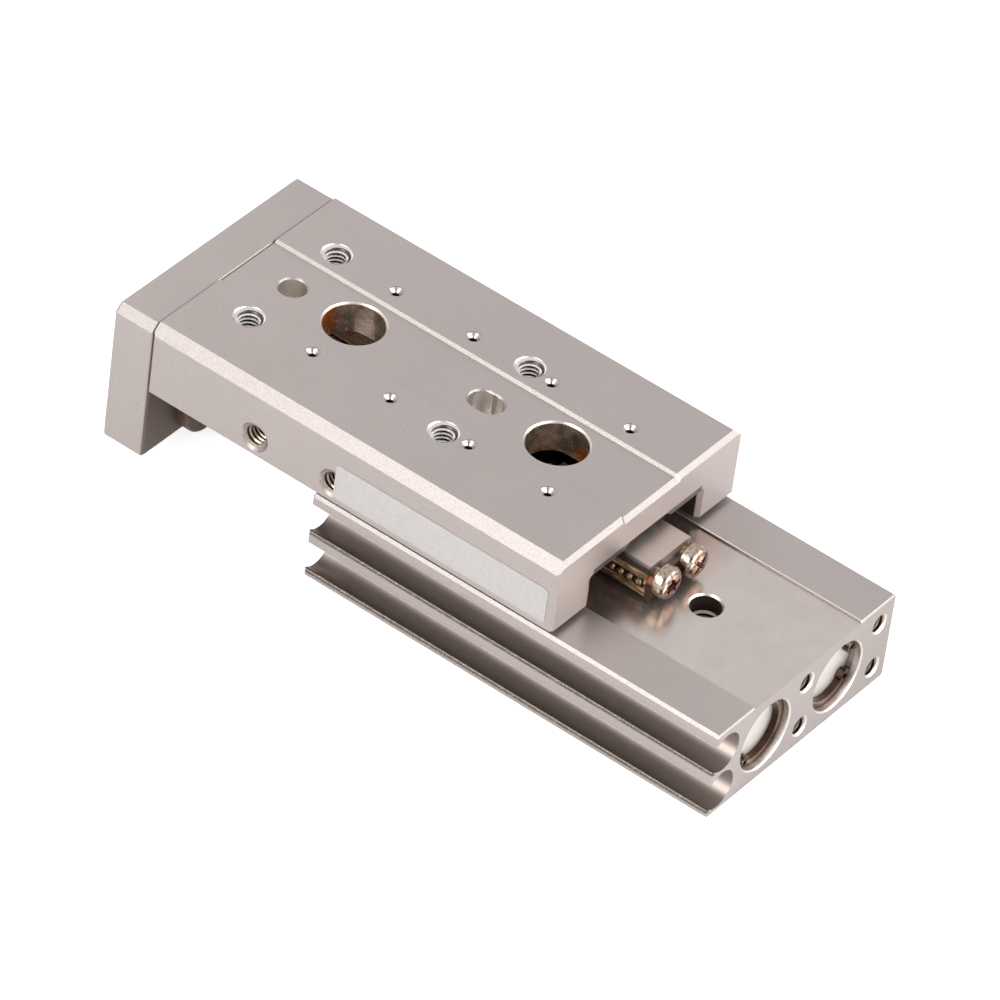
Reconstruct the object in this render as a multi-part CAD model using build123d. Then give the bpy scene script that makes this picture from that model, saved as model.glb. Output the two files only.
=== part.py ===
from build123d import *
import math
import os

# Compact pneumatic slide table, shown extended by its whole stroke.
# Millimetres. +X is the way the table extends, +Y the side with the sensor grooves, +Z up.
# The origin is the centre of the body's underside, which is bolted down.

# Overall sizes
STROKE = 20.0
OVERALL_HEIGHT = 20.0
TABLE_WIDTH = 30.2
BODY_INSET = 0.2
PLATE_INSET = 0.2

# Cylinder body
BODY_LENGTH = 51.0
BODY_WIDTH = TABLE_WIDTH - 2 * BODY_INSET
BODY_HEIGHT = 10.9
BODY_EDGE = 0.3
SEAT_DEPTH = 0.2

# Cylinder bores and what closes them
BORE_DIAMETER = 6.0
BORE_PITCH = 12.1
BORE_CENTRE_HEIGHT = 5.4
CAP_BORE_DIAMETER = 8.0
CAP_BORE_CHAMFER = 0.15
FIT = 0.02
RING_THICKNESS = 0.7
RING_GROOVE_DEPTH = 0.3
RING_WIDTH = 0.85
RING_GAP_ANGLE = 38.0
RING_LUG_DIAMETER = 1.5
RING_LUG_HOLE = 0.6
REAR_GAP_TURN = {"near": -30.0, "far": 187.0}
FRONT_GAP_TURN = 90.0
REAR_RING_SETBACK = 0.8
FRONT_RING_SETBACK = 0.5
REAR_CAP_LENGTH = 4.4
ROD_COVER_LENGTH = 5.6
O_RING_SECTION = 1.0
O_RING_GROOVE_WIDTH = 1.3
O_RING_SQUEEZE = 0.1
ROD_SEAL_SECTION = 1.0

# Sensor grooves
GROOVE_RADIUS = 2.25
GROOVE_CENTRE_DEPTH = 1.7
GROOVE_LIP = 0.17
GROOVE_HEIGHTS = (2.83, 7.83)

# Rods, pistons and bumpers
ROD_DIAMETER = 3.0
PISTON_LENGTH = 13.0
PISTON_RUNNING_GAP = 0.05
PISTON_END_GAP = 0.3
PISTON_CUSHION = 1.0
PISTON_SEAL_WIDTH = 1.2
PISTON_SEAL_DEPTH = 0.8
PISTON_SEAL_SETBACK = 2.0
MAGNET_WIDTH = 3.0
MAGNET_DEPTH = 1.0
BUMPER_DIAMETER = 7.0
BUMPER_EDGE = 0.35
BUMPER_GAP = 0.1
RETRACTED_GAP = 1.55

# Body holes
MOUNT_HOLE_DIAMETER = 3.3
MOUNT_HOLE_PITCH = 26.0
MOUNT_HOLE_OFFSET = 0.25
MOUNT_HOLE_CHAMFER = 0.2
BASE_DOWEL_DIAMETER = 3.0
BASE_DOWEL_DEPTH = 2.0
BASE_DOWEL_PITCH = 14.0
DOWEL_SLOT_LENGTH = 4.0
REAR_THREAD_CORE = 2.05
REAR_THREAD_MOUTH = 2.5
REAR_THREAD_DEPTH = 5.0
REAR_THREAD_PITCH = 5.8
REAR_BRACKET_OFFSET = -0.3
REAR_PORT_OFFSET = -12.55
SIDE_PORT_DEPTH = 3.5
AIRWAY_DIAMETER = 1.0
AIRWAY_SETBACK = 0.55

# Guide block, balls, keepers and end caps
BLOCK_WIDTH = 7.0
BLOCK_HEIGHT = 4.0
BLOCK_LENGTH = 16.0
BLOCK_FRONT = 8.25
BLOCK_EDGE = 0.25
BALL_DIAMETER = 1.0
BALL_PITCH = 1.1
BALL_HEIGHT = 2.0
BALL_RUNNING_GAP = 0.03
TRACK_GAP = 0.7
RETURN_BORE_OFFSET = 1.75
RETURN_BORE_HEIGHT = 0.75
KEEPER_THICKNESS = 0.35
KEEPER_HEIGHT = 2.5
KEEPER_LIFT = 0.55
RETURN_CAP_LENGTH = 0.7
RETURN_CAP_DROP = 1.1
RETURN_CAP_LIFT = 0.15
RETURN_CAP_CORNER = 0.5
CAP_SCREW_PITCH = 4.4
CAP_SCREW_HEIGHT = 2.25
CAP_SCREW_DIAMETER = 2.0
CAP_SCREW_CORE = 1.6
CAP_SCREW_HEAD = 3.6
CAP_SCREW_HEAD_LENGTH = 1.65
CAP_SCREW_HEAD_EDGE = 0.4
CAP_SCREW_LENGTH = 3.5
BLOCK_SCREW_DIAMETER = 2.0
BLOCK_SCREW_HEAD = 3.6
BLOCK_SCREW_SOCKET = 1.3
BLOCK_SCREW_PITCH = 5.0
BLOCK_SCREW_LENGTH = 7.5
SOCKET_DEPTH = 0.8

# Table
TABLE_LENGTH = 51.8
TABLE_CLEARANCE = 0.7
TABLE_LONG_CHAMFER = 1.1
TABLE_END_CHAMFER = 0.5
TABLE_EDGE = 0.3
CHANNEL_WIDTH = 17.8
CEILING_CLEARANCE = 0.7
CHANNEL_CORNER = 0.4
CHANNEL_LEAD_IN = 0.5
CEILING_RECESS_DEPTH = 0.6
CEILING_RECESS_WIDTH = 7.7
CEILING_RECESS_FLOOR = 5.9
TOP_GROOVE_WIDTH = 9.1
TOP_GROOVE_DEPTH = 0.3

# Table holes, measured back from the end plate's front face
M3_CORE = 2.5
M3_CLEARANCE = 3.4
M3_MOUTH_CHAMFER = 0.45
TABLE_THREAD_PLACE = 11.0
TABLE_THREAD_PITCH_X = 25.0
TABLE_THREAD_PITCH_Y = 14.1
DOWEL_DIAMETER = 3.0
DOWEL_DEPTH = 3.0
DOWEL_CHAMFER = 0.15
ACCESS_DIAMETER = 6.5
ACCESS_CHAMFER = 0.2
SIDE_THREAD_PLACES = (19.0, 29.0)
SIDE_THREAD_HEIGHT = 13.75
SIDE_THREAD_DEPTH = 4.5
PIN_PLACE = 19.0
PIN_COUNT = 4
PIN_PITCH = 10.0
PIN_ROW_PITCH = 13.5
PIN_DIAMETER = 1.6
PIN_SINK = 0.05
PIN_GRIP = 2.0
PIN_DIMPLE = 0.4
PIN_CENTRE_DIAMETER = 0.6
PIN_CENTRE_DEPTH = 0.9

# Rails inside the table's legs
RAIL_FRONT_SETBACK = 0.8
RAIL_REAR_SETBACK = 2.4
RAIL_EDGE = 0.2

# End plate and its screws
PLATE_THICKNESS = 5.2
PLATE_WIDTH = TABLE_WIDTH - 2 * PLATE_INSET
PLATE_BOTTOM = 2.4
PLATE_TOP = 19.7
PLATE_LONG_CHAMFER = 0.9
PLATE_EDGE = 0.3
PLATE_SCREW_PITCH = 22.6
PLATE_SCREW_HEIGHT = 15.8
PLATE_THREAD_HEIGHT = 6.5
PLATE_THREAD_DEPTH = 4.2
PLATE_SCREW_DIAMETER = 3.0
PLATE_SCREW_HEAD = 5.5
PLATE_SCREW_HEAD_LENGTH = 2.6
PLATE_SCREW_LENGTH = 7.0
PLATE_SCREW_SOCKET = 2.5
ROD_SPIGOT_DEPTH = 1.5
ROD_BOLT_DIAMETER = 2.0
ROD_BOLT_CORE = 1.6
ROD_BOLT_HEAD = 3.8
ROD_BOLT_HEAD_LENGTH = 1.3
ROD_BOLT_LENGTH = 6.0
ROD_BOLT_SOCKET = 1.5
HEAD_CLEARANCE = 0.15
SCREW_TIP_GAP = 0.5

# Places that follow from the sizes
FRONT = BODY_LENGTH / 2
REAR = -BODY_LENGTH / 2
SEAT = BODY_HEIGHT - SEAT_DEPTH
SEAT_WIDTH = CHANNEL_WIDTH
TABLE_BOTTOM = BODY_HEIGHT + TABLE_CLEARANCE
TABLE_FRONT = FRONT + RETRACTED_GAP + STROKE
TABLE_REAR = TABLE_FRONT - TABLE_LENGTH
PLATE_FRONT = TABLE_FRONT + PLATE_THICKNESS
TOP_FLOOR = OVERALL_HEIGHT - TOP_GROOVE_DEPTH
BORE_Y = {"near": BORE_PITCH / 2, "far": -BORE_PITCH / 2}
SIDE = {"near": 1, "far": -1}
RING_SLOT = RING_THICKNESS + 2 * FIT
REAR_CAP_FACE = REAR + REAR_RING_SETBACK + RING_SLOT
BORE_REAR = REAR_CAP_FACE + REAR_CAP_LENGTH
FRONT_COVER_FACE = FRONT - FRONT_RING_SETBACK - RING_SLOT
BORE_FRONT = FRONT_COVER_FACE - ROD_COVER_LENGTH
PISTON_FRONT = BORE_FRONT - PISTON_END_GAP - PISTON_CUSHION
PISTON_REAR = PISTON_FRONT - PISTON_LENGTH
BLOCK_REAR = BLOCK_FRONT - BLOCK_LENGTH
BLOCK_TOP = SEAT + BLOCK_HEIGHT
CHANNEL_CEILING = BLOCK_TOP + CEILING_CLEARANCE
CEILING_RECESS_TOP = CHANNEL_CEILING + CEILING_RECESS_DEPTH
BALL_Y = BLOCK_WIDTH / 2 + TRACK_GAP / 2
BALL_Z = SEAT + BALL_HEIGHT
RETURN_Z = SEAT + RETURN_BORE_HEIGHT
TRACK_RADIUS = BALL_DIAMETER / 2 + BALL_RUNNING_GAP
RAIL_FACE = BLOCK_WIDTH / 2 + TRACK_GAP
MOUNT_HOLE_X = (MOUNT_HOLE_OFFSET + MOUNT_HOLE_PITCH / 2, MOUNT_HOLE_OFFSET - MOUNT_HOLE_PITCH / 2)
BLOCK_SCREW_X = (
    (BLOCK_FRONT + BLOCK_REAR + BLOCK_SCREW_PITCH) / 2,
    (BLOCK_FRONT + BLOCK_REAR - BLOCK_SCREW_PITCH) / 2,
)

# Turns that point a tool's +Z along the named way
TO_FRONT = Rot(0, 90, 0)
TO_REAR = Rot(0, -90, 0)
TO_NEAR = Rot(-90, 0, 0)
TO_FAR = Rot(90, 0, 0)
TO_BELOW = Rot(180, 0, 0)


def drill(diameter, depth, chamfer_width=0.0):
    """A hole's tool: its mouth lies at the origin and it goes down along -Z."""
    tool = Pos(0, 0, -depth / 2) * Cylinder(diameter / 2, depth)
    if chamfer_width > 0:
        mouth = Cone(diameter / 2, diameter / 2 + chamfer_width, chamfer_width)
        tool += Pos(0, 0, -chamfer_width / 2) * mouth
    return tool


def slot_tool(width, length, depth, chamfer_width=0.0):
    """A slot's tool with round ends, long along X, its mouth at the origin."""
    tool = extrude(SlotOverall(length, width), -depth)
    if chamfer_width > 0:
        mouth = SlotOverall(length + 2 * chamfer_width, width + 2 * chamfer_width)
        tool += loft([mouth, Pos(0, 0, -chamfer_width) * SlotOverall(length, width)])
    return tool


def bar(section, start, end):
    """A YZ section carried from X = start to X = end."""
    return Pos(start, 0, 0) * extrude(Plane.YZ * section, end - start)


def tube(outer, inner, start, end, y, z):
    """A round sleeve along X."""
    ring = Pos(y, z) * (Circle(outer / 2) - Circle(inner / 2))
    return bar(ring, start, end)


def rod(diameter, start, end, y, z):
    """A round bar along X."""
    return bar(Pos(y, z) * Circle(diameter / 2), start, end)


def end_edges(part, x, lowest_z=-1.0):
    """The straight edges that outline the part's end at X = x, from a height upwards."""
    edges = part.edges().filter_by(GeomType.LINE).filter_by_position(Axis.X, x - 0.001, x + 0.001)
    return [e for e in edges if e.center().Z > lowest_z]


def groove_tool(height):
    """A sensor groove's tool: a round channel whose narrow mouth has a rounded lip on each side."""
    reach = 2 * GROOVE_RADIUS
    outline = Pos(-reach / 2, 0) * Rectangle(reach, 2 * reach)
    wall = outline - Pos(-GROOVE_CENTRE_DEPTH, 0) * Circle(GROOVE_RADIUS)
    lips = wall.vertices().filter_by(lambda v: abs(v.X) < FIT and abs(v.Y) < GROOVE_RADIUS)
    channel = outline - fillet(lips, GROOVE_LIP)
    return bar(Pos(BODY_WIDTH / 2, height) * channel, REAR, FRONT)


def body_block():
    """The body's plain form: a low block, a shallow seat on top and two sensor grooves."""
    section = Pos(0, BODY_HEIGHT / 2) * Rectangle(BODY_WIDTH, BODY_HEIGHT)
    section = chamfer(section.vertices(), BODY_EDGE)
    part = bar(section, REAR, FRONT)
    outline = [e for x in (REAR, FRONT) for e in end_edges(part, x)]
    part = chamfer(outline, BODY_EDGE / 2)
    part -= bar(Pos(0, BODY_HEIGHT - SEAT_DEPTH / 2) * Rectangle(SEAT_WIDTH, SEAT_DEPTH), REAR, FRONT)
    for height in GROOVE_HEIGHTS:
        part -= groove_tool(height)
    return part


def bore_cut(y):
    """One cylinder bore with its wider ends and the grooves of its two retaining rings."""
    z = BORE_CENTRE_HEIGHT
    groove = CAP_BORE_DIAMETER + 2 * RING_GROOVE_DEPTH
    cut = rod(BORE_DIAMETER, BORE_REAR, BORE_FRONT, y, z)
    cut += rod(CAP_BORE_DIAMETER, REAR, BORE_REAR, y, z)
    cut += rod(CAP_BORE_DIAMETER, BORE_FRONT, FRONT, y, z)
    cut += rod(groove, REAR_CAP_FACE - RING_SLOT, REAR_CAP_FACE, y, z)
    cut += rod(groove, FRONT_COVER_FACE, FRONT_COVER_FACE + RING_SLOT, y, z)
    mouth = drill(CAP_BORE_DIAMETER, CAP_BORE_CHAMFER, CAP_BORE_CHAMFER)
    cut += Pos(REAR, y, z) * TO_REAR * mouth
    cut += Pos(FRONT, y, z) * TO_FRONT * mouth
    return cut


def body():
    """The cylinder body with its bores, mounting holes, dowel holes, threads and air ports."""
    part = body_block()
    for y in BORE_Y.values():
        part -= bore_cut(y)
    for x in MOUNT_HOLE_X:
        part -= Pos(x, 0, SEAT) * drill(MOUNT_HOLE_DIAMETER, SEAT, MOUNT_HOLE_CHAMFER)
        part -= Pos(x, 0, 0) * TO_BELOW * drill(MOUNT_HOLE_DIAMETER, MOUNT_HOLE_CHAMFER, MOUNT_HOLE_CHAMFER)
    dowel_x = MOUNT_HOLE_OFFSET + BASE_DOWEL_PITCH / 2
    slot_x = MOUNT_HOLE_OFFSET - BASE_DOWEL_PITCH / 2
    part -= Pos(dowel_x, 0, 0) * TO_BELOW * drill(BASE_DOWEL_DIAMETER, BASE_DOWEL_DEPTH)
    part -= Pos(slot_x, 0, 0) * TO_BELOW * slot_tool(BASE_DOWEL_DIAMETER, DOWEL_SLOT_LENGTH, BASE_DOWEL_DEPTH)
    mouth = (REAR_THREAD_MOUTH - REAR_THREAD_CORE) / 2
    for y in (REAR_BRACKET_OFFSET, REAR_PORT_OFFSET):
        for z in (BORE_CENTRE_HEIGHT + REAR_THREAD_PITCH / 2, BORE_CENTRE_HEIGHT - REAR_THREAD_PITCH / 2):
            part -= Pos(REAR, y, z) * TO_REAR * drill(REAR_THREAD_CORE, REAR_THREAD_DEPTH, mouth)
    airway = BODY_WIDTH / 2 + BORE_Y["near"] - BORE_DIAMETER / 4
    for x in (BORE_FRONT - AIRWAY_SETBACK, BORE_REAR + AIRWAY_SETBACK):
        far_side = Pos(x, -BODY_WIDTH / 2, BORE_CENTRE_HEIGHT) * TO_FAR
        part -= far_side * drill(M3_CORE, SIDE_PORT_DEPTH, M3_MOUTH_CHAMFER)
        part -= far_side * drill(AIRWAY_DIAMETER, airway)
    for x in BLOCK_SCREW_X:
        part -= Pos(x, 0, SEAT) * drill(BLOCK_SCREW_DIAMETER, BLOCK_SCREW_LENGTH - BLOCK_HEIGHT + SCREW_TIP_GAP)
    return part


def block_section():
    """The guide block's section: a bar with a ball track in each side and two return bores."""
    block = Pos(0, SEAT + BLOCK_HEIGHT / 2) * Rectangle(BLOCK_WIDTH, BLOCK_HEIGHT)
    block = chamfer(block.vertices(), BLOCK_EDGE)
    for side in SIDE.values():
        block -= Pos(side * BALL_Y, BALL_Z) * Circle(TRACK_RADIUS)
        block -= Pos(side * RETURN_BORE_OFFSET, RETURN_Z) * Circle(TRACK_RADIUS)
    return block


def guide_block():
    """The steel bar that carries the table's balls, screwed down on the body's seat."""
    part = bar(block_section(), BLOCK_REAR, BLOCK_FRONT)
    for x in BLOCK_SCREW_X:
        head = (BLOCK_SCREW_HEAD - BLOCK_SCREW_DIAMETER) / 2
        part -= Pos(x, 0, BLOCK_TOP) * drill(BLOCK_SCREW_DIAMETER + 2 * FIT, BLOCK_HEIGHT, head)
    for place, turn in cap_screw_places():
        part -= place * turn * drill(CAP_SCREW_CORE, CAP_SCREW_LENGTH + SCREW_TIP_GAP)
    return part


def guide_block_screws():
    """The two countersunk screws of the guide block."""
    head = (BLOCK_SCREW_HEAD - BLOCK_SCREW_DIAMETER) / 2
    shank_length = BLOCK_SCREW_LENGTH - head
    screw = Pos(0, 0, -head / 2) * Cone(BLOCK_SCREW_DIAMETER / 2, BLOCK_SCREW_HEAD / 2 - FIT, head)
    screw += Pos(0, 0, -head - shank_length / 2) * Cylinder(BLOCK_SCREW_DIAMETER / 2, shank_length)
    screw -= extrude(RegularPolygon(BLOCK_SCREW_SOCKET / 2, 6), -SOCKET_DEPTH)
    return [Pos(x, 0, BLOCK_TOP) * screw for x in BLOCK_SCREW_X]


def cap_screw_places():
    """Where the cap screws enter the block's two ends, and which way their heads point."""
    z = SEAT + CAP_SCREW_HEIGHT
    places = []
    for side in SIDE.values():
        y = side * CAP_SCREW_PITCH / 2
        places.append((Pos(BLOCK_FRONT, y, z), TO_FRONT))
        places.append((Pos(BLOCK_REAR, y, z), TO_REAR))
    return places


def return_cap(front):
    """One plastic end cap of the guide block, which turns the balls into their return bores."""
    width = 2 * (BLOCK_WIDTH / 2 + KEEPER_THICKNESS)
    low = SEAT + RETURN_CAP_LIFT
    high = BLOCK_TOP - RETURN_CAP_DROP
    section = Pos(0, (low + high) / 2) * Rectangle(width, high - low)
    section = chamfer(section.vertices().sort_by(Axis.Y)[-2:], RETURN_CAP_CORNER)
    for side in SIDE.values():
        section -= Pos(side * CAP_SCREW_PITCH / 2, SEAT + CAP_SCREW_HEIGHT) * Circle(CAP_SCREW_DIAMETER / 2 + FIT)
    if front:
        return bar(section, BLOCK_FRONT, BLOCK_FRONT + RETURN_CAP_LENGTH)
    return bar(section, BLOCK_REAR - RETURN_CAP_LENGTH, BLOCK_REAR)


def return_cap_screws():
    """The four pan-head screws of the return caps."""
    head = Cylinder(CAP_SCREW_HEAD / 2, CAP_SCREW_HEAD_LENGTH)
    head = fillet(head.edges().sort_by(Axis.Z)[-1], CAP_SCREW_HEAD_EDGE)
    screw = Pos(0, 0, RETURN_CAP_LENGTH + CAP_SCREW_HEAD_LENGTH / 2) * head
    screw += Pos(0, 0, RETURN_CAP_LENGTH / 2) * Cylinder(CAP_SCREW_DIAMETER / 2, RETURN_CAP_LENGTH)
    screw += Pos(0, 0, -CAP_SCREW_LENGTH / 2) * Cylinder(CAP_SCREW_CORE / 2, CAP_SCREW_LENGTH)
    return [place * turn * screw for place, turn in cap_screw_places()]


def balls(side):
    """The balls of one side: the loaded row in the track and the row in the return bore."""
    count = int((BLOCK_LENGTH - BALL_DIAMETER) / BALL_PITCH) + 1
    first = (BLOCK_FRONT + BLOCK_REAR) / 2 - (count - 1) * BALL_PITCH / 2
    row = []
    for n in range(count):
        x = first + n * BALL_PITCH
        row.append(Pos(x, side * BALL_Y, BALL_Z) * Sphere(BALL_DIAMETER / 2))
        row.append(Pos(x, side * RETURN_BORE_OFFSET, RETURN_Z) * Sphere(BALL_DIAMETER / 2))
    return row


def ball_keeper(side):
    """A plastic strip on the block's side, with a slot that the balls look out of."""
    low = SEAT + KEEPER_LIFT
    middle = side * (BLOCK_WIDTH + KEEPER_THICKNESS) / 2
    section = Pos(middle, low + KEEPER_HEIGHT / 2) * Rectangle(KEEPER_THICKNESS, KEEPER_HEIGHT)
    part = bar(section, BLOCK_REAR, BLOCK_FRONT)
    window = Pos(middle, BALL_Z) * Rectangle(2 * KEEPER_THICKNESS, 2 * TRACK_RADIUS)
    land = BALL_DIAMETER / 2
    return part - bar(window, BLOCK_REAR + land / 2, BLOCK_FRONT - land / 2)


def bore_cap(y):
    """The disc that closes a bore at the rear, with a groove for its O-ring."""
    z = BORE_CENTRE_HEIGHT
    outer = CAP_BORE_DIAMETER - 2 * FIT
    part = rod(outer, REAR_CAP_FACE, BORE_REAR, y, z)
    middle = (REAR_CAP_FACE + BORE_REAR) / 2
    inner = CAP_BORE_DIAMETER - 2 * O_RING_SECTION + 2 * O_RING_SQUEEZE
    half = O_RING_GROOVE_WIDTH / 2
    return part - tube(CAP_BORE_DIAMETER, inner, middle - half, middle + half, y, z)


def o_ring(y):
    """An O-ring in its groove, pressed a little flat against the bore."""
    middle = (REAR_CAP_FACE + BORE_REAR) / 2
    radius = O_RING_SECTION / 2 - O_RING_SQUEEZE / 2
    centre_radius = CAP_BORE_DIAMETER / 2 - radius
    return Pos(middle, y, BORE_CENTRE_HEIGHT) * TO_FRONT * Torus(centre_radius, radius)


def retaining_ring(y, face, gap_angle):
    """An internal snap ring with two eyes, its gap towards gap_angle in the YZ plane."""
    outer = CAP_BORE_DIAMETER / 2 + RING_GROOVE_DEPTH - FIT
    inner = CAP_BORE_DIAMETER / 2 - RING_WIDTH
    ring = Circle(outer) - Circle(inner)
    reach = 2 * outer
    half = math.radians(RING_GAP_ANGLE / 2)
    gap = Polyline((0, 0), (reach * math.cos(half), reach * math.sin(half)),
                   (reach * math.cos(half), -reach * math.sin(half)), (0, 0))
    ring -= make_face(gap)
    eye_radius = inner + RING_LUG_DIAMETER / 4
    for turn in (half, -half):
        turn_out = turn + math.copysign(RING_LUG_DIAMETER / 2 / eye_radius, turn)
        eye = Pos(eye_radius * math.cos(turn_out), eye_radius * math.sin(turn_out))
        ring += eye * Circle(RING_LUG_DIAMETER / 2)
        ring -= eye * Circle(RING_LUG_HOLE / 2)
    ring = Pos(y, BORE_CENTRE_HEIGHT) * Rot(0, 0, gap_angle) * ring
    return bar(ring, face + FIT, face + FIT + RING_THICKNESS)


def rod_cover(y):
    """The front cover of a bore: a bush that the rod runs in, with a seat for its seal."""
    z = BORE_CENTRE_HEIGHT
    part = tube(CAP_BORE_DIAMETER - 2 * FIT, ROD_DIAMETER + 2 * FIT, BORE_FRONT, FRONT_COVER_FACE, y, z)
    middle = (BORE_FRONT + FRONT_COVER_FACE) / 2
    seat = ROD_DIAMETER + 2 * ROD_SEAL_SECTION
    return part - rod(seat, middle - ROD_SEAL_SECTION / 2, middle + ROD_SEAL_SECTION / 2, y, z)


def rod_seal(y):
    """The lip seal on a rod."""
    middle = (BORE_FRONT + FRONT_COVER_FACE) / 2
    outer = ROD_DIAMETER + 2 * ROD_SEAL_SECTION
    start = middle - ROD_SEAL_SECTION / 2
    return tube(outer, ROD_DIAMETER + 2 * FIT, start, start + ROD_SEAL_SECTION, y, BORE_CENTRE_HEIGHT)


def piston_groove_places():
    """Where the seal and the magnet sit on a piston."""
    seal = PISTON_FRONT - PISTON_SEAL_SETBACK
    magnet = PISTON_REAR + PISTON_SEAL_SETBACK
    return (seal - PISTON_SEAL_WIDTH, seal), (magnet, magnet + MAGNET_WIDTH)


def piston(y):
    """An aluminium piston with grooves for its seal and its magnet."""
    z = BORE_CENTRE_HEIGHT
    outer = BORE_DIAMETER - 2 * PISTON_RUNNING_GAP
    part = rod(outer, PISTON_REAR, PISTON_FRONT, y, z)
    seal, magnet = piston_groove_places()
    part -= tube(BORE_DIAMETER, BORE_DIAMETER - 2 * PISTON_SEAL_DEPTH, *seal, y, z)
    part -= tube(BORE_DIAMETER, BORE_DIAMETER - 2 * MAGNET_DEPTH, *magnet, y, z)
    part -= rod(ROD_DIAMETER, PISTON_FRONT - PISTON_SEAL_SETBACK * 2, PISTON_FRONT, y, z)
    return part


def piston_seal(y):
    """The rubber seal round a piston."""
    seal, _ = piston_groove_places()
    outer = BORE_DIAMETER - 2 * FIT
    return tube(outer, BORE_DIAMETER - 2 * PISTON_SEAL_DEPTH, *seal, y, BORE_CENTRE_HEIGHT)


def magnet(y):
    """The magnet ring that the sensors in the side grooves read."""
    _, place = piston_groove_places()
    outer = BORE_DIAMETER - 2 * PISTON_RUNNING_GAP
    return tube(outer, BORE_DIAMETER - 2 * MAGNET_DEPTH, *place, y, BORE_CENTRE_HEIGHT)


def piston_cushions():
    """The rubber rings that soften each piston's stop against its rod cover."""
    outer = BORE_DIAMETER - 2 * PISTON_END_GAP
    end = PISTON_FRONT + PISTON_CUSHION
    return [tube(outer, ROD_DIAMETER, PISTON_FRONT, end, y, BORE_CENTRE_HEIGHT) for y in BORE_Y.values()]


def piston_rod(y):
    """A rod from its piston to a spigot in the end plate, tapped for its bolt."""
    z = BORE_CENTRE_HEIGHT
    end = TABLE_FRONT + ROD_SPIGOT_DEPTH
    part = rod(ROD_DIAMETER, PISTON_FRONT - PISTON_SEAL_SETBACK * 2, end, y, z)
    bolt_reach = ROD_BOLT_LENGTH - (PLATE_THICKNESS - ROD_BOLT_HEAD_LENGTH - HEAD_CLEARANCE - ROD_SPIGOT_DEPTH)
    return part - rod(ROD_BOLT_CORE, end - bolt_reach - SCREW_TIP_GAP, end, y, z)


def rod_bumper(y):
    """The urethane ring on a rod that meets the body when the table closes."""
    thickness = RETRACTED_GAP - BUMPER_GAP
    z = BORE_CENTRE_HEIGHT
    part = tube(BUMPER_DIAMETER, ROD_DIAMETER + 2 * FIT, TABLE_FRONT - thickness, TABLE_FRONT, y, z)
    rim = part.edges().filter_by(GeomType.CIRCLE).filter_by(lambda e: e.radius > BUMPER_DIAMETER / 2 - FIT)
    return fillet(rim.sort_by(Axis.X)[0], BUMPER_EDGE)


def rod_bolts():
    """The bolts that hold the two rods to the end plate."""
    head_end = PLATE_FRONT - HEAD_CLEARANCE
    seat = head_end - ROD_BOLT_HEAD_LENGTH
    spigot = TABLE_FRONT + ROD_SPIGOT_DEPTH
    bolts = []
    for y in BORE_Y.values():
        z = BORE_CENTRE_HEIGHT
        bolt = rod(ROD_BOLT_HEAD, seat, head_end, y, z)
        bolt += rod(ROD_BOLT_DIAMETER, spigot, seat, y, z)
        bolt += rod(ROD_BOLT_CORE, seat - ROD_BOLT_LENGTH, spigot, y, z)
        socket = Pos(head_end, y, z) * TO_FRONT * extrude(RegularPolygon(ROD_BOLT_SOCKET / 2, 6), -SOCKET_DEPTH)
        bolts.append(bolt - socket)
    return bolts


def table_section():
    """The table's section: an inverted U with a stepped ceiling and a shallow groove on top."""
    half = TABLE_WIDTH / 2
    leg = CHANNEL_WIDTH / 2
    outer = Polyline(
        (0, TOP_FLOOR),
        (TOP_GROOVE_WIDTH / 2 - TOP_GROOVE_DEPTH, TOP_FLOOR),
        (TOP_GROOVE_WIDTH / 2, OVERALL_HEIGHT),
        (half - TABLE_LONG_CHAMFER, OVERALL_HEIGHT),
        (half, OVERALL_HEIGHT - TABLE_LONG_CHAMFER),
        (half, TABLE_BOTTOM),
        (leg, TABLE_BOTTOM),
        (leg, CHANNEL_CEILING - CHANNEL_CORNER),
        (leg - CHANNEL_CORNER, CHANNEL_CEILING),
        (CEILING_RECESS_WIDTH / 2, CHANNEL_CEILING),
        (CEILING_RECESS_FLOOR / 2, CEILING_RECESS_TOP),
        (0, CEILING_RECESS_TOP),
        (0, TOP_FLOOR),
    )
    right = make_face(outer)
    return right + mirror(right, Plane.YZ)


def from_plate(distance):
    """The X of a place that is measured back from the end plate's front face."""
    return PLATE_FRONT - distance


def pin_places():
    """The X and Y of each rail pin."""
    rows = (PIN_ROW_PITCH / 2, -PIN_ROW_PITCH / 2)
    return [(from_plate(PIN_PLACE + n * PIN_PITCH), y) for y in rows for n in range(PIN_COUNT)]


def on_leg(point):
    """Whether a point lies on the inner wall of one of the table's legs."""
    return abs(abs(point.Y) - CHANNEL_WIDTH / 2) < CHANNEL_CORNER and point.Z < CHANNEL_CEILING


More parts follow.
